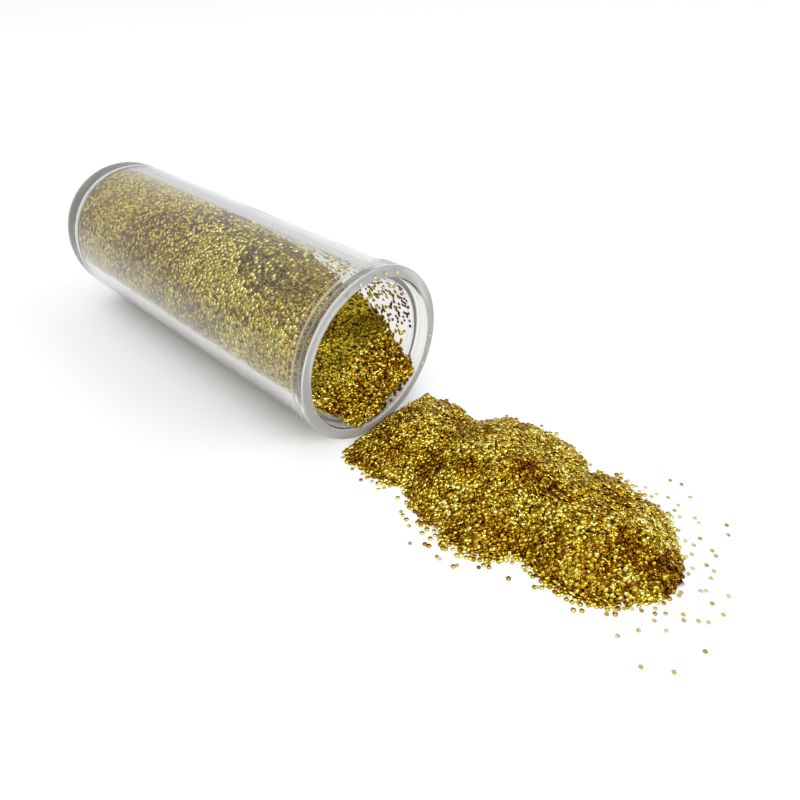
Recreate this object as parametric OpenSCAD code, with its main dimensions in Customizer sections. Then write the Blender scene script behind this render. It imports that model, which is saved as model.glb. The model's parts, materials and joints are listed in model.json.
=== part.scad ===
// Gold sample vial, lying open on its side with its gold flake spilled in front of the mouth.
// +X runs out of the mouth, +Z is up, and z = 0 is the flat surface that everything lies on.
// The origin is on that surface, under the vial's axis, in the near foot of the spilled gold.

/* [Vial] */
// Outside radius of the straight wall
vial_r = 9; // [7.5:0.1:10.8]
// Length of the vial, from the rim to the closed end
vial_len = 50; // [41:1:60]
// Thickness of the side wall
wall = 1.35; // [1.1:0.01:1.65]
// Thickness of the closed end
end_t = 1.8; // [1.4:0.1:2.2]
// Rounding of the closed end's outside edge
heel_r = 2.5; // [2:0.1:3]
// How far the collar stands out from the straight wall
collar_step = 0.3; // [0.24:0.01:0.4]
// Length of the collar
collar_len = 2.4; // [2:0.1:3]
// Length of the taper at the collar's back edge
collar_taper = 0.2; // [0.1:0.05:0.4]
// Rounding of the rim's outside edge
rim_round = 0.2; // [0.1:0.05:0.3]

/* [Mouth seat] */
// How much wider than the bore the stopper's seat is, on the radius
seat_step = 0.45; // [0.35:0.01:0.6]
// Depth of the stopper's seat
seat_len = 1.5; // [1.2:0.1:1.8]
// Flare of the lip, on the radius
lip_flare = 0.1; // [0.05:0.01:0.15]
// Depth of the lip's flare
lip_len = 0.45; // [0.3:0.05:0.6]

/* [Stopper] */
// Thickness of the stopper's flange
flange_t = 1.2; // [1:0.1:1.5]
// Length of the plug that goes into the bore, below the seat ring
plug_len = 2.5; // [2:0.1:3]
// Thickness of the plug's side
plug_wall = 1.1; // [0.9:0.1:1.3]
// Height of the small bead that grips the bore
bead_h = 0.04; // [0.02:0.01:0.05]
// Clearance of the plug in the vial, on the radius
plug_gap = 0.05; // [0.03:0.01:0.1]
// How far behind the closed end the loose stopper's centre lies
stopper_back = 7; // [7:0.5:12]
// How far beside the straight wall the loose stopper's centre lies
stopper_side = 4.3; // [4:0.1:9]

/* [Gold flake] */
// Width of one flake across its corners
flake_w = 0.4; // [0.3:0.02:0.5]
// Thickness of one flake
flake_t = 0.06; // [0.04:0.01:0.08]
// Clearance between the settled gold and the vial
fill_gap = 0.2; // [0.16:0.02:0.3]
// Slope of the gold inside the vial
fill_slope = 29.7; // [27:0.1:33]
// Sideways lean of the gold inside the vial
fill_lean = 12.5; // [0:0.5:16]
// Depth of gold at the mouth, measured from the bottom of the seat
fill_mouth = 1.6; // [1:0.1:2]
// Slope of the gold's nose at the lip
nose_slope = 60; // [50:1:70]

/* [Spilled gold] */
// Gap between the vial's rim and the spilled gold
spill_gap = 0.3; // [0.25:0.05:0.6]
// How far in front of the mouth the origin is
mouth_back = 4; // [3:0.5:5]
// Height of the first mound
mound_1_h = 2.2; // [1.6:0.1:3]
// Height of the second mound
mound_2_h = 3.2; // [2.5:0.1:4]
// Height of the third mound
mound_3_h = 2.7; // [2:0.1:3.5]

/* [Hidden] */
$fn = 96;
EPS = 0.01;

bore_r = vial_r - wall;
seat_r = bore_r + seat_step;
lip_r = seat_r + lip_flare;
collar_r = vial_r + collar_step;
inner_heel_r = heel_r;

// The vial touches the surface at the collar's back edge and where the heel's rounding starts,
// so the collar's step lifts the mouth a little.
touch_s = collar_len - collar_taper;
tilt = atan(collar_step / (vial_len - heel_r - touch_s));
mouth_x = -mouth_back;
mouth_z = collar_r * cos(tilt) + touch_s * sin(tilt);

fill_end = vial_len - end_t - fill_gap;
big = 2 * vial_len;

// Each mound: distance from the mouth, sideways place, half length, half width, height, and the
// power of its outline on the side away from the mouth
MOUNDS = [
    [3.6, 1.4, 6.6, 7.0, mound_1_h, 2.6],
    [14.2, 2.5, 7.2, 9.2, mound_2_h, 3.4],
    [24.6, 2.9, 7.9, 7.2, mound_3_h, 1.7]
];
heap_end = 32.4;
heap_steps = 44;
heap_ribs = 12;

// Places a shape on the vial's axis: its z is the depth from the rim, its x is up.
module on_axis() {
    translate([mouth_x, 0, mouth_z]) rotate([0, -90 - tilt, 0]) children();
}

// ---- Vial ----

// Half section of a round vessel's body, with its end's edge rounded
module half_body(r, end, round_r) {
    square([r, end - round_r]);
    square([r - round_r, end]);
    translate([r - round_r, end - round_r]) circle(round_r, $fn = 48);
}

module collar_section() {
    translate([collar_r - rim_round, rim_round]) circle(rim_round, $fn = 32);
    polygon([
        [0, 0], [collar_r - rim_round, 0], [collar_r, rim_round],
        [collar_r, touch_s], [vial_r, collar_len], [0, collar_len]
    ]);
}

module vial_tube() {
    color([0.86, 0.88, 0.88, 0.4]) on_axis() difference() {
        rotate_extrude() union() {
            half_body(vial_r, vial_len, heel_r);
            collar_section();
        }
        rotate_extrude() half_body(bore_r, vial_len - end_t, inner_heel_r);
        translate([0, 0, -1]) cylinder(r = seat_r, h = 1 + seat_len);
        rotate_extrude() polygon([
            [0, -EPS], [lip_r + EPS * lip_flare / lip_len, -EPS], [seat_r, lip_len], [0, lip_len]
        ]);
    }
}

// ---- Stopper ----

stopper_x = mouth_x - vial_len - stopper_back;
stopper_y = vial_r + stopper_side;
seat_ring_r = seat_r - plug_gap;
seat_ring_len = seat_len - plug_gap;
plug_r = bore_r - plug_gap;
plug_top = flange_t + seat_ring_len + plug_len;
plug_lead = 0.4;
flange_round = 0.25;

// Lies on its flange, hollow side up. The plug's bead is what grips the bore.
module stopper() {
    color([0.93, 0.93, 0.9]) translate([stopper_x, stopper_y, 0]) difference() {
        union() {
            cylinder(r = collar_r, h = flange_t - flange_round);
            rotate_extrude() polygon([
                [0, flange_t - flange_round - EPS], [collar_r, flange_t - flange_round],
                [collar_r - flange_round, flange_t], [0, flange_t]
            ]);
            cylinder(r = seat_ring_r, h = flange_t + seat_ring_len);
            cylinder(r = plug_r, h = plug_top - plug_lead);
            rotate_extrude() polygon([
                [0, plug_top - plug_lead - EPS], [plug_r, plug_top - plug_lead],
                [plug_r - plug_lead / 2, plug_top], [0, plug_top]
            ]);
            translate([0, 0, plug_top - 2 * plug_lead])
                rotate_extrude() polygon([
                    [0, -plug_lead / 2], [plug_r, -plug_lead / 2],
                    [plug_r + bead_h, 0], [plug_r, plug_lead / 2], [0, plug_lead / 2]
                ]);
        }
        translate([0, 0, flange_t]) cylinder(r = plug_r - plug_wall, h = plug_top);
    }
}

// ---- Gold inside the vial ----

// Half space under a sloping plane that crosses the axis frame's x at up
module below_slope(up, slope) {
    translate([up, 0, 0]) rotate([0, slope, 0]) rotate([0, 0, -fill_lean])
        translate([-big, -big, -big]) cube([big, 2 * big, 2 * big]);
}

module gold_fill() {
    color([0.83, 0.66, 0.15]) on_axis() intersection() {
        rotate_extrude() union() {
            half_body(bore_r - fill_gap, fill_end, inner_heel_r);
            square([seat_r - fill_gap, seat_len - fill_gap]);
        }
        below_slope(fill_mouth - seat_r, fill_slope);
        below_slope(fill_gap - seat_r, nose_slope);
    }
}

// ---- Spilled gold ----

// A mound's outline is an oval. An ellipse has power 2, a squarer oval has more, a pointed one less.
oval = 2.6;
// How far along a mound x is, as a share of its half length, and the mound's fullness there
function share(m, x) = min(abs(x - m[0]) / m[2], 1);
function power(m, x) = x > m[0] ? m[5] : oval;
function full(m, x) = pow(1 - pow(share(m, x), power(m, x)), 1 / power(m, x));
function near_y(x) = min([for (m = MOUNDS) m[1] - m[3] * full(m, x)]);
function far_y(x) = max([for (m = MOUNDS) m[1] + m[3] * full(m, x)]);
function foot(x) = min(1, 0.35 + (x - spill_gap) / 5);
function top_z(x) = foot(x) * max([for (m = MOUNDS) m[4] * pow(1 - pow(share(m, x), 2), 0.6)]);

function heap_x(i) = spill_gap + (heap_end - spill_gap) * i / heap_steps;
// Top of the heap at x, where v runs from -1 on the near edge to 1 on the far edge
function heap_top(x, v) = [
    x, (near_y(x) + far_y(x)) / 2 + v * (far_y(x) - near_y(x)) / 2,
    top_z(x) * (1 - pow(abs(v), 1.7))
];

module gold_heap() {
    ring = heap_ribs + 1;
    points = [
        for (i = [0 : heap_steps]) for (j = [0 : heap_ribs]) heap_top(heap_x(i), 2 * j / heap_ribs - 1)
    ];
    top = [
        for (i = [0 : heap_steps - 1]) for (j = [0 : heap_ribs - 1]) for (half = [0, 1])
            half == 0
                ? [i * ring + j, i * ring + j + 1, (i + 1) * ring + j]
                : [i * ring + j + 1, (i + 1) * ring + j + 1, (i + 1) * ring + j]
    ];
    mouth_end = [for (j = [heap_ribs : -1 : 0]) j];
    tip_end = [for (j = [0 : heap_ribs]) heap_steps * ring + j];
    base = concat(
        [for (i = [0 : heap_steps]) i * ring],
        [for (i = [heap_steps : -1 : 0]) i * ring + heap_ribs]
    );
    color([0.85, 0.68, 0.16]) translate([mouth_x, 0, 0])
        polyhedron(points, concat(top, [mouth_end, tip_end, base]), convexity = 6);
}

// ---- Loose flakes ----

// One flake lying flat: a thin hexagon
module flake(turn) {
    rotate([0, 0, turn]) cylinder(d = flake_w, h = flake_t, $fn = 6);
}

near_count = 18;
far_count = 9;
tip_count = 52;
near_from = spill_gap + 0.4;
far_from = 20;
side_end = heap_end - 4;
edge_gap = 0.45;
near_jit = rands(0, 1, 2 * near_count, 7);
far_jit = rands(0, 1, 2 * far_count, 19);
tip_jit = rands(0, 1, 2 * tip_count, 31);

// A row of flakes beside the heap: each lies beyond the heap's edge by a small, uneven distance
module side_row(count, from, jit, side) {
    for (i = [0 : count - 1]) {
        x = from + (side_end - from) * (i + 0.3 * jit[2 * i]) / count;
        out = edge_gap + 2.6 * pow(jit[2 * i + 1], 3);
        y = side < 0 ? near_y(x) - out : far_y(x) + out;
        translate([mouth_x + x, y, 0]) flake(97 * i);
    }
}

module near_side_flakes() {
    color([0.9, 0.75, 0.2]) side_row(near_count, near_from, near_jit, -1);
}

module far_side_flakes() {
    color([0.9, 0.75, 0.2]) side_row(far_count, far_from, far_jit, 1);
}

// Distance from a mound's centre to the edge on its tip side, in the direction turn
function reach(m, turn) =
    pow(pow(abs(cos(turn)) / m[2], m[5]) + pow(abs(sin(turn)) / m[3], m[5]), -1 / m[5]);

// A fan of flakes round the third mound's far end
module tip_flakes() {
    last = MOUNDS[2];
    color([0.9, 0.75, 0.2]) for (i = [0 : tip_count - 1]) {
        turn = -54 + 134 * (i + 0.4 * tip_jit[2 * i]) / tip_count;
        out = reach(last, turn) + edge_gap + 5.6 * pow(tip_jit[2 * i + 1], 1.8);
        translate([mouth_x + last[0] + out * cos(turn), last[1] + out * sin(turn), 0]) flake(131 * i);
    }
}

// ---- Flakes that cling to the vial ----

wall_count = 60;
wall_from = collar_len + 0.6;
wall_depth = 16;
golden = 0.618034;
wall_arc = [-60, 76];
// Two clusters on the rim, at its top and low on its far side: from, step and count
rim_clusters = [[-24, 10.5, 5], [96, 10, 3]];
rim_jit = rands(0, 6, 5, 57);
cling = 0.01;

// Flakes on the bore's upper half, above the gold
module wall_flakes() {
    color([0.85, 0.7, 0.2]) on_axis() for (i = [0 : wall_count - 1]) {
        s = wall_from + wall_depth * i / wall_count;
        spread = i * golden - floor(i * golden);
        turn = wall_arc[0] + (wall_arc[1] - wall_arc[0]) * spread;
        translate([0, 0, s]) rotate([0, 0, turn])
            translate([bore_r - cling - flake_t, 0, 0]) rotate([0, 90, 0]) flake(53 * i);
    }
}

// Flakes on the rim's flat face
module rim_flakes() {
    rim_mid = (lip_r + collar_r - rim_round) / 2;
    color([0.9, 0.75, 0.2]) on_axis() for (c = rim_clusters) for (i = [0 : c[2] - 1]) {
        turn = c[0] + c[1] * i + rim_jit[i];
        rotate([0, 0, turn]) translate([rim_mid, 0, -flake_t]) flake(71 * i);
    }
}

vial_tube();
gold_fill();
gold_heap();
near_side_flakes();
far_side_flakes();
tip_flakes();
wall_flakes();
rim_flakes();
stopper();
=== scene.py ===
# %% [markdown]
# # A sample vial of gold flake, tipped out on a table
# A clear moulded vial lies on its side. Gold flake fills it, slopes down to its mouth and has run
# out into three low mounds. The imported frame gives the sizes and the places, and this notebook
# gives each piece its finished shape and its material. Lengths are named in millimetres and
# turned into metres where a mesh is made.

# %% Load the frame
import json
import math

import bpy
import numpy as np
from mathutils import Matrix, Vector


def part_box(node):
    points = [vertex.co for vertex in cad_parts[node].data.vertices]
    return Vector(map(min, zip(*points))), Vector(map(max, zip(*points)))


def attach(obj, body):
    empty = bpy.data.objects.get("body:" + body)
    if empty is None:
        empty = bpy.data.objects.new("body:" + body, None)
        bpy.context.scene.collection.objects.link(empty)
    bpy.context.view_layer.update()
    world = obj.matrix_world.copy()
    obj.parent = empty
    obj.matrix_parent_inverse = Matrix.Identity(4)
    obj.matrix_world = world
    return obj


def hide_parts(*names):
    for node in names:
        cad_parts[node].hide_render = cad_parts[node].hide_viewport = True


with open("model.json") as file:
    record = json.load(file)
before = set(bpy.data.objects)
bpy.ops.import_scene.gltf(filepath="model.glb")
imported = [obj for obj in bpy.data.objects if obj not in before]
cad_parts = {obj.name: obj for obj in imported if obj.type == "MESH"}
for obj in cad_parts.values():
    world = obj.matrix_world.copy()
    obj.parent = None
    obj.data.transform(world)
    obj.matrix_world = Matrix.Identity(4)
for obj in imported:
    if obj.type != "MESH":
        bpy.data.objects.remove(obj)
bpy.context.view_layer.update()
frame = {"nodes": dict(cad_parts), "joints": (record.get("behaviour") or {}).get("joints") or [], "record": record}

MM = 0.001
nodes = frame["nodes"]
record = frame["record"]

# %% [markdown]
# ## The vial's own axes
# The vial rests on its collar and its heel, so its axis tips up a little at the mouth. Everything
# on the vial is easiest to make on an upright axis and then laid down. The joint that spins the
# vial already holds that axis, so the turn is read from there: x is up, y is sideways, and z is
# the depth from the rim.

# %% Read the vial's place and sizes
spin = next(j for j in frame["joints"] if j["name"] == "vial_spin")
mounts = {m["name"]: m for m in record["mounts"]}
mouth = Vector(spin["pos_m"])
outward = Vector(spin["axis"]).normalized()
lean = math.atan2(outward.z, outward.x)
LAY_DOWN = Matrix.Translation(mouth) @ Matrix.Rotation(-(math.pi / 2 + lean), 4, "Y")

VIAL_R = mounts["vial_body"]["dims"]["r_mm"]
VIAL_LEN = (Vector(mounts["vial_base"]["pos_m"]) - mouth).length / MM
COLLAR_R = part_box("vial_tube")[1].y / MM
WALL = 1.35
SEAT_STEP = 0.45
BORE_R = VIAL_R - WALL
SEAT_R = BORE_R + SEAT_STEP
SEAT_LEN = 1.5
COLLAR_LEN = 2.4
END_T = 1.8
HEEL_R = 2.5
LIP_R = SEAT_R + 0.1  # the rim's inner edge
print("vial radius", VIAL_R, "length", round(VIAL_LEN, 2), "collar radius", round(COLLAR_R, 2))

# %% [markdown]
# ## Camera
# The view is the one a person has who looks down at the mouth from its near side. A 27 mm lens
# on a 36 mm sensor is the ordinary wide view of a pocket camera held close.

# %% Camera
CAMERA_AT = mouth + Vector((35.307, -34.567, 34.268)) * MM
CAMERA_DOWN = 38.89
CAMERA_TURN = 42.66
camera_data = bpy.data.cameras.new("camera")
camera_data.sensor_width = 36
camera_data.lens = 27
camera_data.clip_start = 0.002
camera = bpy.data.objects.new("camera", camera_data)
camera.location = CAMERA_AT
camera.rotation_euler = (math.radians(90 - CAMERA_DOWN), 0, math.radians(CAMERA_TURN))
bpy.context.scene.collection.objects.link(camera)
bpy.context.scene.camera = camera
print("camera at", [round(v / MM, 1) for v in camera.location])

# %% [markdown]
# ## Helpers for modelling
# An operator acts on whatever is selected, so each piece starts from nothing selected. A turned
# piece is made the way a lathe makes it: one vertex is extruded along the half outline, and the
# outline is spun round the axis. Small arcs at the corners give each edge the rounding that a
# mould leaves, which is what catches the light. Long straight runs get extra rings, because
# shading that is smoothed over one long face would bend the light in clear plastic.

# %% Helpers
MERGE_GAP = 0.001
SHARP_ANGLE = 28


def select_nothing():
    if bpy.context.object and bpy.context.object.mode != "OBJECT":
        bpy.ops.object.mode_set(mode="OBJECT")
    bpy.ops.object.select_all(action="DESELECT")


def edit(piece):
    select_nothing()
    piece.select_set(True)
    bpy.context.view_layer.objects.active = piece
    bpy.ops.object.mode_set(mode="EDIT")
    bpy.ops.mesh.select_all(action="SELECT")


def arc(r, h, size, start, end, steps=6):
    turns = np.radians(np.linspace(start, end, steps + 1))
    return [(r + size * math.cos(t), h + size * math.sin(t)) for t in turns]


def guarded(outline, gap=0.06, longest=5.0):
    """The outline with extra points on each long run, so smooth shading stays true along it."""
    points = [outline[0]]
    for (r0, h0), (r1, h1) in zip(outline, outline[1:]):
        length = math.hypot(r1 - r0, h1 - h0)
        if length > 6 * gap:
            parts = max(2, math.ceil(length / longest) + 1)
            for t in np.linspace(gap / length, 1 - gap / length, parts):
                points.append((r0 + t * (r1 - r0), h0 + t * (h1 - h0)))
        points.append((r1, h1))
    return points


def lathe(name, outline, steps=192):
    outline = guarded(outline)
    select_nothing()
    bpy.ops.mesh.primitive_plane_add(size=MM)
    piece = bpy.context.object
    piece.name = piece.data.name = name
    edit(piece)
    bpy.ops.mesh.merge(type="CENTER")
    here = Vector((outline[0][0], 0, outline[0][1])) * MM
    bpy.ops.transform.translate(value=here)
    for r, h in outline[1:]:
        there = Vector((r, 0, h)) * MM
        bpy.ops.mesh.extrude_region_move(TRANSFORM_OT_translate={"value": there - here})
        here = there
    bpy.ops.mesh.select_all(action="SELECT")
    bpy.ops.mesh.spin(steps=steps, angle=2 * math.pi, center=(0, 0, 0), axis=(0, 0, 1))
    bpy.ops.mesh.select_all(action="SELECT")
    bpy.ops.mesh.remove_doubles(threshold=MERGE_GAP * MM)
    bpy.ops.mesh.normals_make_consistent(inside=False)
    bpy.ops.object.mode_set(mode="OBJECT")
    bpy.ops.object.shade_smooth_by_angle(angle=math.radians(SHARP_ANGLE))
    print(name, "faces:", len(piece.data.polygons))
    return piece


def place(piece, matrix):
    piece.data.transform(matrix)
    piece.data.update()
    return piece


def new_material(name):
    material = bpy.data.materials.new(name)
    material.use_nodes = True
    tree = material.node_tree
    return material, tree, tree.nodes["Principled BSDF"]


def add_node(tree, kind, **inputs):
    node = tree.nodes.new(kind)
    for name, value in inputs.items():
        node.inputs[name.replace("_", " ")].default_value = value
    return node


def wear(piece, material):
    piece.data.materials.clear()
    piece.data.materials.append(material)

# %% [markdown]
# ## Clear plastic
# The vial is clear polystyrene. Light bends through it, its faces mirror the room faintly, and
# handling has left a light haze of fine scratches, made with a stretched noise on the roughness.
# A broad noise on the bump keeps the wall from being perfectly true. The mould left three narrow
# frosted bands, on the rim, the seat's step and the collar's step, and the rounded heel is
# frosted too. The plastic takes up a little light with depth, which greys its thick parts. Shadow
# rays pass straight through, because a thin clear wall throws next to no shadow, and the gold
# inside is then lit as it really is.

# %% Clear plastic material
FROST_SPAN = 3.0
# Depth from the rim in mm, and how frosted the plastic is there: on the rim, the seat's step and
# the collar's step, where the mould's parts met
FROST = [
    (0.0, 1.0), (0.1, 1.0), (0.22, 0.0), (1.38, 0.0), (1.46, 0.5), (1.58, 0.5), (1.66, 0.0),
    (2.08, 0.0), (2.2, 0.6), (2.4, 0.6), (2.5, 0.0), (3.0, 0.0)
]
# Depth from the rim in mm where the frost of the rounded heel starts and is full, and where it
# starts to fade toward the flat of the closed end, which stays clearer
HEEL_FROST = (47.4, 49.0)
END_FROST = (49.5, 49.9)
TINT = (0.565, 0.53, 0.46, 1)
TINT_DENSITY = 60


def tone_ramp(tree, tones):
    ramp = tree.nodes.new("ShaderNodeValToRGB")
    points = ramp.color_ramp.elements
    points[0].position, points[0].color = tones[0]
    points[1].position, points[1].color = tones[-1]
    for position, colour in tones[1:-1]:
        points.new(position).color = colour
    return ramp


def depth_range(tree, from_depth, to_depth, to_min, to_max):
    """A node that runs from to_min to to_max between two depths from the rim, in mm."""
    node = add_node(tree, "ShaderNodeMapRange", To_Min=to_min, To_Max=to_max)
    node.inputs["From Min"].default_value = mouth.x - from_depth * MM
    node.inputs["From Max"].default_value = mouth.x - to_depth * MM
    return node


def combine(tree, operation, first, second):
    node = tree.nodes.new("ShaderNodeMath")
    node.operation = operation
    tree.links.new(first, node.inputs[0])
    tree.links.new(second, node.inputs[1])
    return node.outputs["Value"]


def clear_plastic():
    material, tree, shader = new_material("clear_polystyrene")
    shader.inputs["Base Color"].default_value = (0.95, 0.945, 0.93, 1)
    shader.inputs["Transmission Weight"].default_value = 1
    shader.inputs["IOR"].default_value = 1.47
    coords = tree.nodes.new("ShaderNodeTexCoord")
    scuff_map = add_node(tree, "ShaderNodeMapping", Scale=(60, 900, 900))
    scuff = add_node(tree, "ShaderNodeTexNoise", Scale=1.0, Detail=6.0, Roughness=0.7)
    rough = add_node(tree, "ShaderNodeMapRange", To_Min=0.0, To_Max=0.04)
    rough.inputs["From Min"].default_value = 0.55
    rough.inputs["From Max"].default_value = 0.8
    wave = add_node(tree, "ShaderNodeTexNoise", Scale=160.0, Detail=2.0)
    bump = add_node(tree, "ShaderNodeBump", Strength=0.05, Distance=0.0004)
    link = tree.links.new
    link(coords.outputs["Object"], scuff_map.inputs["Vector"])
    link(scuff_map.outputs["Vector"], scuff.inputs["Vector"])
    link(scuff.outputs["Fac"], rough.inputs["Value"])
    place_of = tree.nodes.new("ShaderNodeSeparateXYZ")
    depth = depth_range(tree, 0, FROST_SPAN, 0, 1)
    frost = tone_ramp(tree, [(s / FROST_SPAN, (f, f, f, 1)) for s, f in FROST])
    heel = depth_range(tree, *HEEL_FROST, 0.0, 0.9)
    end = depth_range(tree, END_FROST[1], END_FROST[0], 0.3, 0.9)
    link(coords.outputs["Object"], place_of.inputs["Vector"])
    for node in (depth, heel, end):
        link(place_of.outputs["X"], node.inputs["Value"])
    link(depth.outputs["Result"], frost.inputs["Fac"])
    corner = combine(tree, "MINIMUM", heel.outputs["Result"], end.outputs["Result"])
    frosted = combine(tree, "MAXIMUM", frost.outputs["Color"], corner)
    frost_rough = add_node(tree, "ShaderNodeMapRange", To_Min=0.0, To_Max=0.4)
    clear = add_node(tree, "ShaderNodeMapRange", To_Min=1.0, To_Max=0.6)
    link(frosted, frost_rough.inputs["Value"])
    link(frosted, clear.inputs["Value"])
    link(clear.outputs["Result"], shader.inputs["Transmission Weight"])
    rougher = combine(tree, "MAXIMUM", rough.outputs["Result"], frost_rough.outputs["Result"])
    link(rougher, shader.inputs["Roughness"])
    link(coords.outputs["Object"], wave.inputs["Vector"])
    link(wave.outputs["Fac"], bump.inputs["Height"])
    link(bump.outputs["Normal"], shader.inputs["Normal"])
    see = tree.nodes.new("ShaderNodeBsdfTransparent")
    see.inputs["Color"].default_value = (0.93, 0.93, 0.92, 1)
    path = tree.nodes.new("ShaderNodeLightPath")
    mix = tree.nodes.new("ShaderNodeMixShader")
    link(path.outputs["Is Shadow Ray"], mix.inputs["Fac"])
    link(shader.outputs["BSDF"], mix.inputs[1])
    link(see.outputs["BSDF"], mix.inputs[2])
    link(mix.outputs["Shader"], tree.nodes["Material Output"].inputs["Surface"])
    tint = tree.nodes.new("ShaderNodeVolumeAbsorption")
    tint.inputs["Color"].default_value = TINT
    tint.inputs["Density"].default_value = TINT_DENSITY
    link(tint.outputs["Volume"], tree.nodes["Material Output"].inputs["Volume"])
    return material


CLEAR = clear_plastic()
print("material:", CLEAR.name)

# %% [markdown]
# ## The vial
# One moulding: a straight tube with a rounded heel, a shallow collar at the mouth and, inside the
# mouth, the stepped seat that a stopper pushes into. It is a turned shape all over, so it is
# lathed from one outline that runs down the outside, round the rim and back along the bore. The
# small dome at the centre of the closed end is the mark where the plastic was let into the mould.

# %% Vial
def vial_outline():
    soft = 0.08  # the rounding of the small corners
    floor_h = VIAL_LEN - END_T
    gate = [(0, VIAL_LEN - 0.09), (0.5, VIAL_LEN - 0.08), (1.0, VIAL_LEN - 0.04), (1.5, VIAL_LEN)]
    outside = gate + arc(VIAL_R - HEEL_R, VIAL_LEN - HEEL_R, HEEL_R, 90, 0, 16)
    collar = [
        (VIAL_R, COLLAR_LEN + 0.05), (VIAL_R + 0.03, COLLAR_LEN),
        (COLLAR_R - 0.03, COLLAR_LEN - 0.19), (COLLAR_R, COLLAR_LEN - 0.24)
    ]
    rim = arc(COLLAR_R - 0.2, 0.2, 0.2, 0, -90) + arc(LIP_R + soft, soft, soft, 270, 180, 3)
    seat = [(SEAT_R, 0.45), (SEAT_R, SEAT_LEN - soft)]
    step = [(SEAT_R - soft / 2, SEAT_LEN)]
    step += arc(BORE_R + soft, SEAT_LEN + soft, soft, 270, 180, 3)
    inside = arc(BORE_R - HEEL_R, floor_h - HEEL_R, HEEL_R, 0, 90, 16) + [(0, floor_h)]
    return outside + collar + rim + seat + step + inside


vial = place(lathe("vial", vial_outline(), steps=224), LAY_DOWN)
wear(vial, CLEAR)
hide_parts("vial_tube")
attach(vial, "vial")

# %% [markdown]
# ## Gold flake material
# Each flake is a tiny mirror cut from gilded film. What the eye reads as glitter is that every
# flake tips its own way and so mirrors something else: the lamp, the room or its dark neighbours.
# The material is therefore a plain metal with a tone for each flake, kept in an attribute, and
# the sparkle itself comes from the real tilt of each flake in the mesh. Flakes pressed on the
# plastic are paler and a little duller. The imported gold under them is rougher and painted
# darker, a painted shade for the gaps between the flakes.

# %% Gold flake materials
GOLD_TONES = [
    (0.0, (0.17, 0.045, 0.002, 1)), (0.35, (0.40, 0.215, 0.006, 1)),
    (0.72, (0.72, 0.53, 0.035, 1)), (1.0, (0.95, 0.90, 0.27, 1))
]


def flake_metal(name, tones, roughness):
    material, tree, shader = new_material(name)
    shader.inputs["Metallic"].default_value = 1
    tone = tree.nodes.new("ShaderNodeAttribute")
    tone.attribute_name = "tone"
    ramp = tone_ramp(tree, tones)
    rough = add_node(tree, "ShaderNodeMapRange", To_Min=roughness[0], To_Max=roughness[1])
    link = tree.links.new
    link(tone.outputs["Fac"], ramp.inputs["Fac"])
    link(ramp.outputs["Color"], shader.inputs["Base Color"])
    link(tone.outputs["Fac"], rough.inputs["Value"])
    link(rough.outputs["Result"], shader.inputs["Roughness"])
    return material


def single_flake_metal():
    material, tree, shader = new_material("loose_gold_flake")
    shader.inputs["Metallic"].default_value = 1
    shader.inputs["Roughness"].default_value = 0.28
    coords = tree.nodes.new("ShaderNodeTexCoord")
    patch = add_node(tree, "ShaderNodeTexVoronoi", Scale=1400.0)
    split = tree.nodes.new("ShaderNodeSeparateColor")
    ramp = tone_ramp(tree, [
        (0.0, (0.42, 0.30, 0.07, 1)), (0.5, (0.72, 0.60, 0.20, 1)), (1.0, (0.90, 0.86, 0.62, 1))
    ])
    link = tree.links.new
    link(coords.outputs["Object"], patch.inputs["Vector"])
    link(patch.outputs["Color"], split.inputs["Color"])
    link(split.outputs["Red"], ramp.inputs["Fac"])
    link(ramp.outputs["Color"], shader.inputs["Base Color"])
    return material


def packed_gold():
    """The gold under the top flakes: the same flakes, seen only in the gaps, drawn as cells and painted darker as
    shade.
    """
    material, tree, shader = new_material("packed_gold_painted_shade")
    shader.inputs["Metallic"].default_value = 1
    shader.inputs["Roughness"].default_value = 0.42
    coords = tree.nodes.new("ShaderNodeTexCoord")
    cell = add_node(tree, "ShaderNodeTexVoronoi", Scale=3000.0)
    split = tree.nodes.new("ShaderNodeSeparateColor")
    # Darker than the flakes' own tones: painted shade for the gaps between the top flakes
    ramp = tone_ramp(tree, [
        (0.0, (0.13, 0.045, 0.003, 1)), (0.5, (0.38, 0.21, 0.01, 1)), (1.0, (0.68, 0.48, 0.04, 1))
    ])
    bump = add_node(tree, "ShaderNodeBump", Strength=0.9, Distance=0.0002)
    link = tree.links.new
    link(coords.outputs["Object"], cell.inputs["Vector"])
    link(cell.outputs["Color"], split.inputs["Color"])
    link(split.outputs["Red"], ramp.inputs["Fac"])
    link(ramp.outputs["Color"], shader.inputs["Base Color"])
    link(split.outputs["Green"], bump.inputs["Height"])
    link(bump.outputs["Normal"], shader.inputs["Normal"])
    return material


FLAKE_GOLD = flake_metal("gold_flake", GOLD_TONES, (0.34, 0.2))
PRESSED_GOLD = flake_metal("pressed_gold_flake", [
    (0.0, (0.24, 0.16, 0.01, 1)), (0.3, (0.60, 0.46, 0.04, 1)),
    (0.8, (0.82, 0.69, 0.09, 1)), (1.0, (0.95, 0.88, 0.22, 1))
], (0.42, 0.3))
LOOSE_GOLD = single_flake_metal()
SHADED_PACKED_GOLD = packed_gold()
print("materials:", FLAKE_GOLD.name, PRESSED_GOLD.name, LOOSE_GOLD.name, SHADED_PACKED_GOLD.name)

# %% [markdown]
# ## One flake, laid thousands of times
# The flake is a thin hexagon, modelled once from a six-sided cylinder. There are far too many to
# lay by hand, so its corners are copied in bulk: each copy gets a centre, a direction to face, a
# twist and a size. Tilting a flake lifts its edge, so a flake near the table or the vial's wall
# may only tilt as far as it has room to.

# %% The flake and how a group is laid
FLAKE_R = 0.2
FLAKE_T = 0.05
STRAY_SPREAD = 48


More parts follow.
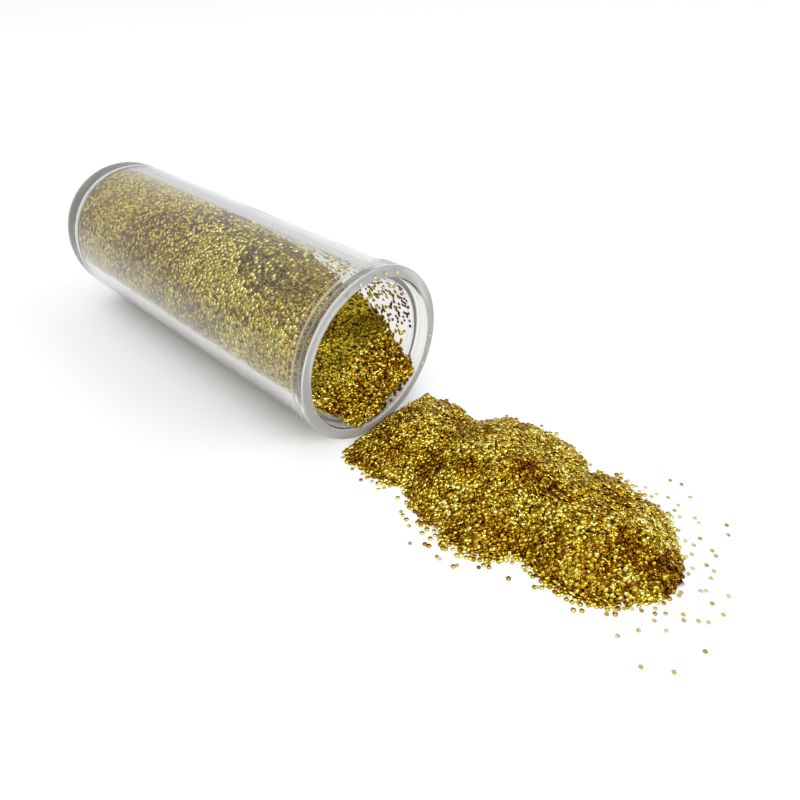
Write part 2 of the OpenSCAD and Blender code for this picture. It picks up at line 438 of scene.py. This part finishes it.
def model_flake():
    select_nothing()
    bpy.ops.mesh.primitive_cylinder_add(
        vertices=6, radius=FLAKE_R * MM, depth=FLAKE_T * MM, end_fill_type="NGON")
    flake = bpy.context.object
    corners = np.array([v.co for v in flake.data.vertices]) / MM
    faces = [list(p.vertices) for p in flake.data.polygons]
    bpy.data.objects.remove(flake)
    return corners, faces


FLAKE_CORNERS, FLAKE_FACES = model_flake()
rng = np.random.default_rng(1849)
waves = rng.uniform(0, 2 * math.pi, (12, 2))


def lumps(x, y, size):
    """Smooth random unevenness between about -1 and 1, with bumps about size mm across."""
    total = 0
    for i, (phase, turn) in enumerate(waves):
        pace = 2 * math.pi / (size * (0.7 + 0.12 * i))
        total = total + np.sin(pace * (x * math.cos(turn) + y * math.sin(turn)) + phase)
    return total / 4


def unit(v):
    return v / np.maximum(np.linalg.norm(v, axis=1, keepdims=True), 1e-9)


def tilted(normals, spread, limit, stray=0.0):
    """Normals tipped by a random angle of about spread degrees, and by no more than limit.

    A share of them, stray, is tipped by about STRAY_SPREAD degrees instead.
    """
    count = len(normals)
    spread = np.where(rng.uniform(0, 1, count) < stray, STRAY_SPREAD, spread)
    side = unit(np.cross(normals, rng.normal(size=(count, 3))))
    angle = np.minimum(np.abs(rng.normal(0, np.radians(spread))), limit)
    return unit(normals * np.cos(angle)[:, None] + side * np.sin(angle)[:, None]), angle


def lay_flakes(name, centres, normals, matrix, body, sizes=(0.95, 1.25), tones=(0, 1),
               metal=FLAKE_GOLD):
    """A piece made of one flake at each centre, in mm, facing its normal. matrix places it all."""
    count = len(centres)
    along = unit(np.cross(normals, rng.normal(size=(count, 3))))
    across = np.cross(normals, along)
    size = rng.uniform(*sizes, count)[:, None, None]
    shape = FLAKE_CORNERS[None] * size
    points = (centres[:, None] + shape[..., :1] * along[:, None]
              + shape[..., 1:2] * across[:, None] + shape[..., 2:] * normals[:, None])
    step = len(FLAKE_CORNERS)
    sizes_of = np.array([len(f) for f in FLAKE_FACES])
    loop = np.concatenate([np.array(f) for f in FLAKE_FACES])
    loops = (loop[None] + step * np.arange(count)[:, None]).ravel()
    starts = np.concatenate([[0], np.cumsum(np.tile(sizes_of, count))[:-1]])
    mesh = bpy.data.meshes.new(name)
    mesh.vertices.add(count * step)
    mesh.vertices.foreach_set("co", (points * MM).ravel())
    mesh.loops.add(len(loops))
    mesh.loops.foreach_set("vertex_index", loops)
    mesh.polygons.add(count * len(FLAKE_FACES))
    mesh.polygons.foreach_set("loop_start", starts)
    mesh.update(calc_edges=True)
    x, y, z = centres.T
    clumps = lumps(x + 0.6 * z, y + 0.8 * z, 5.0)
    tone_of = np.clip(rng.uniform(*tones, count) + 0.15 * clumps, 0, 1)
    tone = mesh.attributes.new("tone", "FLOAT", "POINT")
    tone.data.foreach_set("value", np.repeat(tone_of, step))
    mesh.transform(matrix)
    piece = bpy.data.objects.new(name, mesh)
    bpy.context.scene.collection.objects.link(piece)
    wear(piece, metal)
    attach(piece, body)
    print(name, "flakes:", count)
    return piece


def lay_in_groups(name, centres, normals, matrix, body, most=9000, **more):
    """The same, split into pieces of at most that many flakes."""
    parts = math.ceil(len(centres) / most)
    return [
        lay_flakes(f"{name}_{i + 1}", centres[i::parts], normals[i::parts], matrix, body, **more)
        for i in range(parts)
    ]

# %% [markdown]
# ## The spilled gold
# The heap is three low mounds that run into each other, as each pulse of flake came to rest. Its
# height at any point is one formula, so the body of the heap and the flakes on top of it agree.
# The body starts as a flat grid, whose points are moved up to the formula, and then it is closed
# by extruding its edge down to the table.

# %% Height of the heap
MOUNDS = [
    # along, across, half length, half width, height, power of the outline past its middle
    (3.6, 1.4, 6.6, 7.0, 2.2, 2.6),
    (14.2, 2.5, 7.2, 9.2, 3.2, 3.4),
    (24.6, 2.9, 7.9, 7.2, 2.7, 1.7)
]
OVAL = 2.6
HEAP_FROM = 0.3  # from the rim, in mm
HEAP_TO = 32.4


def share(m, x):
    return np.minimum(np.abs(x - m[0]) / m[2], 1)


def full_width(m, x):
    power = np.where(x > m[0], m[5], OVAL)
    return (1 - share(m, x) ** power) ** (1 / power)


def edges(x):
    full = [full_width(m, x) for m in MOUNDS]
    near = np.min([m[1] - m[3] * f for m, f in zip(MOUNDS, full)], axis=0)
    far = np.max([m[1] + m[3] * f for m, f in zip(MOUNDS, full)], axis=0)
    return near + 0.3 * lumps(x, 0 * x, 3.1), far + 0.3 * lumps(x, 0 * x + 9, 3.4)


def heap_height(x, v):
    foot = np.clip(0.35 + (x - HEAP_FROM) / 5, 0.25, 1)
    ridge = np.max([m[4] * (1 - share(m, x) ** 2) ** 0.6 for m in MOUNDS], axis=0)
    rise = 1 - np.abs(v) ** 1.7
    rolling = 1 + 0.10 * lumps(x, 7 * v, 4.0)
    return foot * ridge * rise * rolling + 0.12 * rise * lumps(x, 7 * v, 1.3)


def heap_point(x, v, sink=0.0):
    near, far = edges(x)
    y = (near + far) / 2 + v * (far - near) / 2
    return np.stack([x, y, np.maximum(heap_height(x, v) - sink, 0)], axis=-1)


TO_MOUTH = Matrix.Translation((mouth.x, 0, 0))

# %% Body of the heap
def heap_body():
    select_nothing()
    bpy.ops.mesh.primitive_grid_add(x_subdivisions=128, y_subdivisions=40, size=2)
    piece = bpy.context.object
    piece.name = piece.data.name = "heap_body"
    flat = np.array([v.co for v in piece.data.vertices])
    along = HEAP_FROM + (HEAP_TO - HEAP_FROM) * (flat[:, 0] + 1) / 2
    points = heap_point(along, flat[:, 1] * 0.97, sink=0.15)
    points[:, 2] += 0.02
    piece.data.vertices.foreach_set("co", (points * MM).ravel())
    edit(piece)
    bpy.ops.mesh.extrude_region_move()
    bpy.ops.transform.resize(value=(1, 1, 0), center_override=(0, 0, 0))
    bpy.ops.mesh.select_all(action="SELECT")
    bpy.ops.mesh.normals_make_consistent(inside=False)
    bpy.ops.object.mode_set(mode="OBJECT")
    bpy.ops.object.shade_smooth()
    print("heap_body faces:", len(piece.data.polygons))
    return place(piece, TO_MOUTH)


heap = heap_body()
wear(heap, SHADED_PACKED_GOLD)
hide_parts("gold_heap")
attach(heap, "gold")

# %% Flakes on the heap
HEAP_FLAKES = 14000
HEAP_SIZES = (1.0, 1.35)
EDGE_FLAKES = 260
ON_TABLE = FLAKE_T / 2 + 0.005  # height of a flake that lies flat on the table
SAMPLE_STEP = 0.05


def heap_flakes(count):
    x = rng.uniform(HEAP_FROM - 0.1, HEAP_TO + 0.1, 3 * count)
    near, far = edges(x)
    widest = max(m[3] for m in MOUNDS) * 2
    x = x[rng.uniform(0, widest, len(x)) < far - near][:count]
    v = rng.uniform(-1, 1, len(x))
    top = heap_point(x, v)
    slope_x = (heap_point(x + SAMPLE_STEP, v)[:, 2] - top[:, 2]) / SAMPLE_STEP
    beside = heap_point(x, v + 0.01)
    slope_y = (beside[:, 2] - top[:, 2]) / np.maximum(beside[:, 1] - top[:, 1], 0.01)
    normals = unit(np.stack([-slope_x, -slope_y, np.ones(len(x))], axis=-1))
    top[:, 2] += FLAKE_R * 0.5 - rng.uniform(0, 0.3, len(x))
    top[:, :2] += rng.normal(0, 0.12, (len(x), 2))
    top[:, 0] = np.maximum(top[:, 0], HEAP_FROM + 0.06)
    reach = HEAP_SIZES[1] * FLAKE_R
    room = np.arcsin(np.clip((top[:, 2] - ON_TABLE) / reach, 0.02, 1))
    normals[top[:, 2] < 0.25] = (0, 0, 1)
    normals, angle = tilted(normals, 17, room, stray=0.22)
    top[:, 2] = np.maximum(top[:, 2], ON_TABLE + reach * np.sin(angle))
    return top, normals


def edge_flakes(count):
    """Single flakes that have come off the heap's edge, lying flat, most of them close to it."""
    x = HEAP_FROM + 1 + (HEAP_TO - HEAP_FROM - 1) * rng.uniform(0, 1, count) ** 0.7
    near, far = edges(x)
    out = 0.1 + rng.exponential(0.4, count)
    y = np.where(rng.uniform(0, 1, count) < 0.72, near - out, far + 0.6 * out)
    flat = np.tile((0.0, 0.0, 1.0), (count, 1))
    return np.stack([x, y, np.full(count, ON_TABLE)], axis=-1), flat


lay_in_groups("heap_flakes", *heap_flakes(HEAP_FLAKES), TO_MOUTH, "gold", sizes=HEAP_SIZES)
lay_flakes("edge_flakes", *edge_flakes(EDGE_FLAKES), TO_MOUTH, "gold", tones=(0.3, 1))

# %% [markdown]
# ## The gold inside the vial
# The settled gold is a cylinder's worth of flake with a sloping free face. A solid core fills the
# middle, where nothing can be seen, and the flakes are laid where they show: against the wall,
# against the closed end, and several deep on the free face.

# %% Free face of the gold, in the vial's axes
SLOPE = 0.57
SIDE_LEAN = 0.25
NOSE_SLOPE = 1.9
FACE_START = -6.5
NOSE_START = -7.6
CORE_NOSE_START = -8.15


def gold_up(s, y):
    """Height of the gold above the vial's axis, at depth s and y to the side."""
    main = FACE_START + SLOPE * s + SIDE_LEAN * y
    nose = NOSE_START + NOSE_SLOPE * s + 0.55 * np.maximum(y, 0)
    return np.minimum(main, nose) + 0.28 * lumps(s, y, 4.5)


def fill_core():
    r = BORE_R - 0.42
    end = VIAL_LEN - END_T - 0.4
    heel = HEEL_R - 0.3
    outline = [(0, 0.3), (r, 0.3)] + arc(r - heel, end - heel, heel, 0, 90) + [(0, end)]
    core = lathe("fill_core", outline, steps=96)
    slope_no = Vector((1, -SIDE_LEAN, -SLOPE)).normalized()
    nose_no = Vector((1, -SIDE_LEAN, -NOSE_SLOPE)).normalized()
    for height, normal in ((FACE_START - 0.4, slope_no), (CORE_NOSE_START - 0.3, nose_no)):
        edit(core)
        bpy.ops.mesh.bisect(
            plane_co=(height * MM, 0, 0), plane_no=normal, use_fill=True, clear_outer=True)
    bpy.ops.mesh.select_all(action="SELECT")
    bpy.ops.mesh.normals_make_consistent(inside=False)
    bpy.ops.object.mode_set(mode="OBJECT")
    return place(core, LAY_DOWN)


core = fill_core()
wear(core, SHADED_PACKED_GOLD)
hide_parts("gold_fill")
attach(core, "gold")

# %% Flakes against the wall and the closed end
WALL_FLAKES = 15000
PRESSED_EVERY = 0.43
END_FLAKES = 3400
FILL_END = VIAL_LEN - END_T
GOLD_GAP = 0.078  # room between the gold and the wall
CLING_GAP = 0.012  # between a clinging flake and the wall


def wall_r(s):
    """Inside radius of the vial at depth s."""
    past = np.clip(s - (FILL_END - HEEL_R), 0, HEEL_R)
    curved = BORE_R - HEEL_R + np.sqrt(HEEL_R ** 2 - past ** 2)
    return np.where(s < SEAT_LEN, SEAT_R, curved)


def round_wall(s, turn, reach, spread, gap=GOLD_GAP):
    """Flakes that face the wall at depth s and turn, from gap to reach mm in from it.

    The gap leaves room for the flakes that cling to the plastic and turn with it.
    """
    inward = rng.uniform(0, reach, len(s)) ** 1.2
    faces = np.stack([np.cos(turn), np.sin(turn), 0 * s], axis=-1)
    room = np.arcsin(np.clip(inward / (1.25 * FLAKE_R), 0, 1))
    normals, angle = tilted(faces, spread, room)
    r = wall_r(s) - gap - FLAKE_T / 2 - inward
    return faces * r[:, None] + np.stack([0 * s, 0 * s, s], axis=-1), normals


def fill_wall_flakes(count):
    s = rng.uniform(0.25, FILL_END - 1.2, 2 * count)
    turn = rng.uniform(0, 2 * math.pi, len(s))
    r = wall_r(s)
    under = r * np.cos(turn) < gold_up(s, r * np.sin(turn)) + rng.normal(0, 0.25, len(s))
    s, turn = s[under][:count], turn[under][:count]
    return round_wall(s, turn, 0.35, 20)


def cling_line(s, turn):
    """How far the depth s is past the line where flakes pressed on the near wall begin."""
    return s - (25.5 + 0.33 * np.degrees(turn) + 1.5 * lumps(s, 6 * turn, 9.0))


def pressed_flakes(every):
    """The outermost layer: flakes shaken flat against the wall, side by side, with gaps."""
    rows = np.arange(0.3, FILL_END - 1.2, 0.87 * every)
    row, turn = np.meshgrid(np.arange(len(rows)), np.arange(0, 2 * math.pi, every / BORE_R))
    s = (rows[row] + rng.uniform(-0.3, 0.3, row.shape) * every).ravel()
    shift = 0.5 * (row % 2) + rng.uniform(-0.3, 0.3, row.shape)
    turn = (turn + shift * every / BORE_R).ravel()
    r = wall_r(s)
    turn = (turn + math.pi) % (2 * math.pi) - math.pi
    under = r * np.cos(turn) < gold_up(s, r * np.sin(turn))
    past = cling_line(s, turn) / 5 + 0.5
    clinging = (np.degrees(turn) < 32) & (rng.uniform(0, 1, len(s)) < past)
    patchy = 0.84 + 0.16 * lumps(s, 6 * turn, 6.0)
    kept = (under | clinging) & (s > COLLAR_LEN + 0.1) & (rng.uniform(0, 1, len(s)) < patchy)
    return round_wall(s[kept], turn[kept], 0.06, 5)


def fill_end_flakes(count):
    """Flakes against the closed end and the rounding that leads to it."""
    r = (BORE_R - 0.25) * np.sqrt(rng.uniform(0, 1, count))
    turn = rng.uniform(0, 2 * math.pi, count)
    past = np.maximum(r - (BORE_R - HEEL_R), 0)
    rise = np.sqrt(HEEL_R ** 2 - past ** 2)
    faces = np.stack([past * np.cos(turn), past * np.sin(turn), rise], axis=-1) / HEEL_R
    inward = rng.uniform(0, 0.25, count)
    wall = np.stack([r * np.cos(turn), r * np.sin(turn), FILL_END - HEEL_R + rise], axis=-1)
    room = np.arcsin(np.clip(inward / (1.25 * FLAKE_R), 0, 1))
    normals, _ = tilted(faces, 20, room)
    return wall - faces * (GOLD_GAP + FLAKE_T / 2 + inward)[:, None], normals


# The lower layers against the wall keep to the darker tones: painted shade for flakes that lie under others
lay_in_groups("fill_wall_flakes", *fill_wall_flakes(WALL_FLAKES), LAY_DOWN, "gold", tones=(0, 0.6))
lay_in_groups("pressed_flakes", *pressed_flakes(PRESSED_EVERY), LAY_DOWN, "gold",
              metal=PRESSED_GOLD, sizes=(0.82, 1.06))
lay_in_groups("fill_end_flakes", *fill_end_flakes(END_FLAKES), LAY_DOWN, "gold",
              metal=PRESSED_GOLD)

# %% Flakes on the free face
FACE_FLAKES = 9000
FRONT_DEPTH = 5  # the face nearer the rim than this is seen through the open mouth


def free_face_flakes(count):
    s = rng.uniform(0.05, 26, 4 * count)
    y = rng.uniform(-BORE_R, BORE_R, len(s))
    up = gold_up(s, y)
    inside = np.hypot(up, y) < wall_r(s) - 0.36
    s, y, up = (a[inside][:count] for a in (s, y, up))
    along = (gold_up(s + SAMPLE_STEP, y) - up) / SAMPLE_STEP
    across = (gold_up(s, y + SAMPLE_STEP) - up) / SAMPLE_STEP
    normals = unit(np.stack([np.ones(len(s)), -across, -along], axis=-1))
    up = up + 0.1 - 0.4 * rng.uniform(0, 1, len(s))
    normals, _ = tilted(normals, 20, math.radians(75), stray=0.25)
    return np.stack([up, y, s], axis=-1), normals


face_at, face_normals = free_face_flakes(FACE_FLAKES)
front = face_at[:, 2] < FRONT_DEPTH
lay_flakes("front_face_flakes", face_at[front], face_normals[front], LAY_DOWN, "gold",
           sizes=(1.0, 1.3))
# The face deeper in, seen through the wall, keeps to the darkest tones: painted shade for the dim inside of the
# vial
lay_flakes("deep_face_flakes", face_at[~front], face_normals[~front], LAY_DOWN, "gold",
           tones=(0, 0.28), metal=PRESSED_GOLD)

# %% [markdown]
# ## Flakes that cling to the vial
# Static holds single flakes to the plastic above the gold, thickest just over the free face.
# They turn with the vial when it rolls, so they ride on it and not on the gold. The frame's own
# single flakes, on the vial and round the heap, are kept as they are and get a paler gold.

# %% Clinging flakes
CLING_FLAKES = 800
FAR_WALL_FLAKES = 160


def clinging_flakes(count):
    s = rng.uniform(2.7, 29, 12 * count)
    turn = rng.uniform(-math.pi, math.pi, len(s))
    over = BORE_R * np.cos(turn) - gold_up(s, BORE_R * np.sin(turn))
    near = (turn > -1.6) & (turn < 0.8)
    on_near = 0.25 + 0.75 * np.exp(cling_line(s, turn) / 5)
    chance = np.where(near, on_near, np.exp(-over / 2.6) + 0.12)
    keep = (over > 0.2) & (rng.uniform(0, 1, len(s)) < chance)
    s, turn = s[keep][:count], turn[keep][:count]
    return round_wall(s, turn, 0.0, 0, gap=CLING_GAP)


def far_wall_flakes(count):
    """A denser patch just inside the mouth, on the side the gold was poured across."""
    s = 2.0 + 9 * rng.uniform(0, 1, 6 * count) ** 1.3
    turn = np.radians(rng.uniform(8, 98, len(s)))
    over = BORE_R * np.cos(turn) - gold_up(s, BORE_R * np.sin(turn))
    keep = (over > 0.1) & (rng.uniform(0, 1, len(s)) < np.exp(-over / 7))
    return round_wall(s[keep][:count], turn[keep][:count], 0.0, 0, gap=CLING_GAP)


# The clinging flakes keep to the pale tones: a painted highlight for the glints they catch above the gold
lay_flakes("clinging_flakes", *clinging_flakes(CLING_FLAKES), LAY_DOWN, "vial", tones=(0.6, 1))
# The far wall's flakes keep to the dark tones: painted shade for the inside of the far wall
lay_flakes("far_wall_flakes", *far_wall_flakes(FAR_WALL_FLAKES), LAY_DOWN, "vial",
           sizes=(0.8, 1), tones=(0, 0.3))
for name in ("wall_flakes", "rim_flakes", "near_side_flakes", "far_side_flakes", "tip_flakes"):
    wear(nodes[name], LOOSE_GOLD)

# %% [markdown]
# ## The stopper
# The vial is open, so its stopper lies loose behind it, on its flange. It is a soft moulded plug
# with a seat ring, a bead that grips the bore, and a hollow that lets its side give. The plastic
# is natural polyethylene, which is milky: light goes a little way in and comes back out.

# %% Stopper
PLUG_GAP = 0.05
PLUG_WALL = 1.1
low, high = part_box("stopper")


def milky_plastic():
    material, tree, shader = new_material("natural_polyethylene")
    shader.inputs["Base Color"].default_value = (0.70, 0.71, 0.68, 1)
    shader.inputs["Subsurface Weight"].default_value = 0.35
    shader.inputs["Subsurface Radius"].default_value = (1.0, 0.95, 0.85)
    shader.inputs["Subsurface Scale"].default_value = 0.0012
    coords = tree.nodes.new("ShaderNodeTexCoord")
    grain = add_node(tree, "ShaderNodeTexNoise", Scale=2600.0, Detail=3.0)
    rough = add_node(tree, "ShaderNodeMapRange", To_Min=0.36, To_Max=0.52)
    bump = add_node(tree, "ShaderNodeBump", Strength=0.12, Distance=0.00008)
    link = tree.links.new
    link(coords.outputs["Object"], grain.inputs["Vector"])
    link(grain.outputs["Fac"], rough.inputs["Value"])
    link(rough.outputs["Result"], shader.inputs["Roughness"])
    link(grain.outputs["Fac"], bump.inputs["Height"])
    link(bump.outputs["Normal"], shader.inputs["Normal"])
    return material


def stopper_outline():
    flange_r = (high.x - low.x) / 2 / MM
    top = high.z / MM
    ring_r, plug_r, hollow_r = SEAT_R - PLUG_GAP, BORE_R - PLUG_GAP, BORE_R - PLUG_GAP - PLUG_WALL
    flange = [(0, 0.12), (flange_r - 1.6, 0.12), (flange_r - 1.4, 0)]
    flange += arc(flange_r - 0.25, 0.25, 0.25, -90, 0) + arc(flange_r - 0.25, 0.95, 0.25, 0, 90)
    ring = [(ring_r + 0.08, 1.2), (ring_r, 1.28)] + arc(ring_r - 0.12, 2.53, 0.12, 0, 90, 3)
    plug = [(plug_r + 0.05, 2.65), (plug_r, 2.7), (plug_r, top - 1.0), (plug_r + 0.04, top - 0.8)]
    plug += [(plug_r, top - 0.6), (plug_r - 0.2, top - 0.1)]
    plug += arc(plug_r - 0.4, top - 0.12, 0.12, 60, 90, 2)
    hollow = arc(hollow_r + 0.12, top - 0.12, 0.12, 90, 180, 3)
    hollow += arc(hollow_r - 0.3, 1.5, 0.3, 0, -90, 4)
    gate = [(1.1, 1.2), (0.8, 1.32), (0, 1.36)]
    return flange + ring + plug + hollow + gate


stopper_at = Matrix.Translation(((low.x + high.x) / 2, (low.y + high.y) / 2, 0))
stopper = place(lathe("stopper_plug", stopper_outline(), steps=128), stopper_at)
wear(stopper, milky_plastic())
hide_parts("stopper")
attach(stopper, "stopper")

# %% [markdown]
# ## Table and light
# A pale table 12 m across, an even pale room, and two soft lamps: a large one overhead and a
# smaller one on the far side. The room is what most flakes mirror, and the lamps give the few
# bright ones their sparkle. Neither lamp stands where the tube would
# mirror it toward the camera as a streak.

# %% Table, room and lamps
TABLE_SIZE = 12
ROOM_COLOUR = (0.96, 0.98, 1.0, 1)
ROOM_STRENGTH = 0.8
select_nothing()
bpy.ops.mesh.primitive_plane_add(size=TABLE_SIZE)
table = bpy.context.object
table.name = "table"
table_white, _, table_shader = new_material("table_white")
table_shader.inputs["Base Color"].default_value = (0.84, 0.84, 0.84, 1)
table_shader.inputs["Roughness"].default_value = 0.6
wear(table, table_white)

room = bpy.data.worlds.new("room")
bpy.context.scene.world = room
room.use_nodes = True
sky = room.node_tree.nodes["Background"]
sky.inputs["Color"].default_value = ROOM_COLOUR
sky.inputs["Strength"].default_value = ROOM_STRENGTH


def soft_lamp(name, at, size, power):
    lamp = bpy.data.lights.new(name, "AREA")
    lamp.shape = "DISK"
    lamp.size = size
    lamp.energy = power
    holder = bpy.data.objects.new(name, lamp)
    holder.location = at
    holder.rotation_euler = (-Vector(at)).to_track_quat("-Z", "Y").to_euler()
    bpy.context.scene.collection.objects.link(holder)
    print(name, "at", at, "power", power)


soft_lamp("overhead_lamp", (0.12, -0.26, 1.30), 1.1, 9.0)
soft_lamp("side_lamp", (0.75, 0.85, 0.85), 0.6, 4.0)
bpy.context.scene.view_settings.view_transform = "Standard"
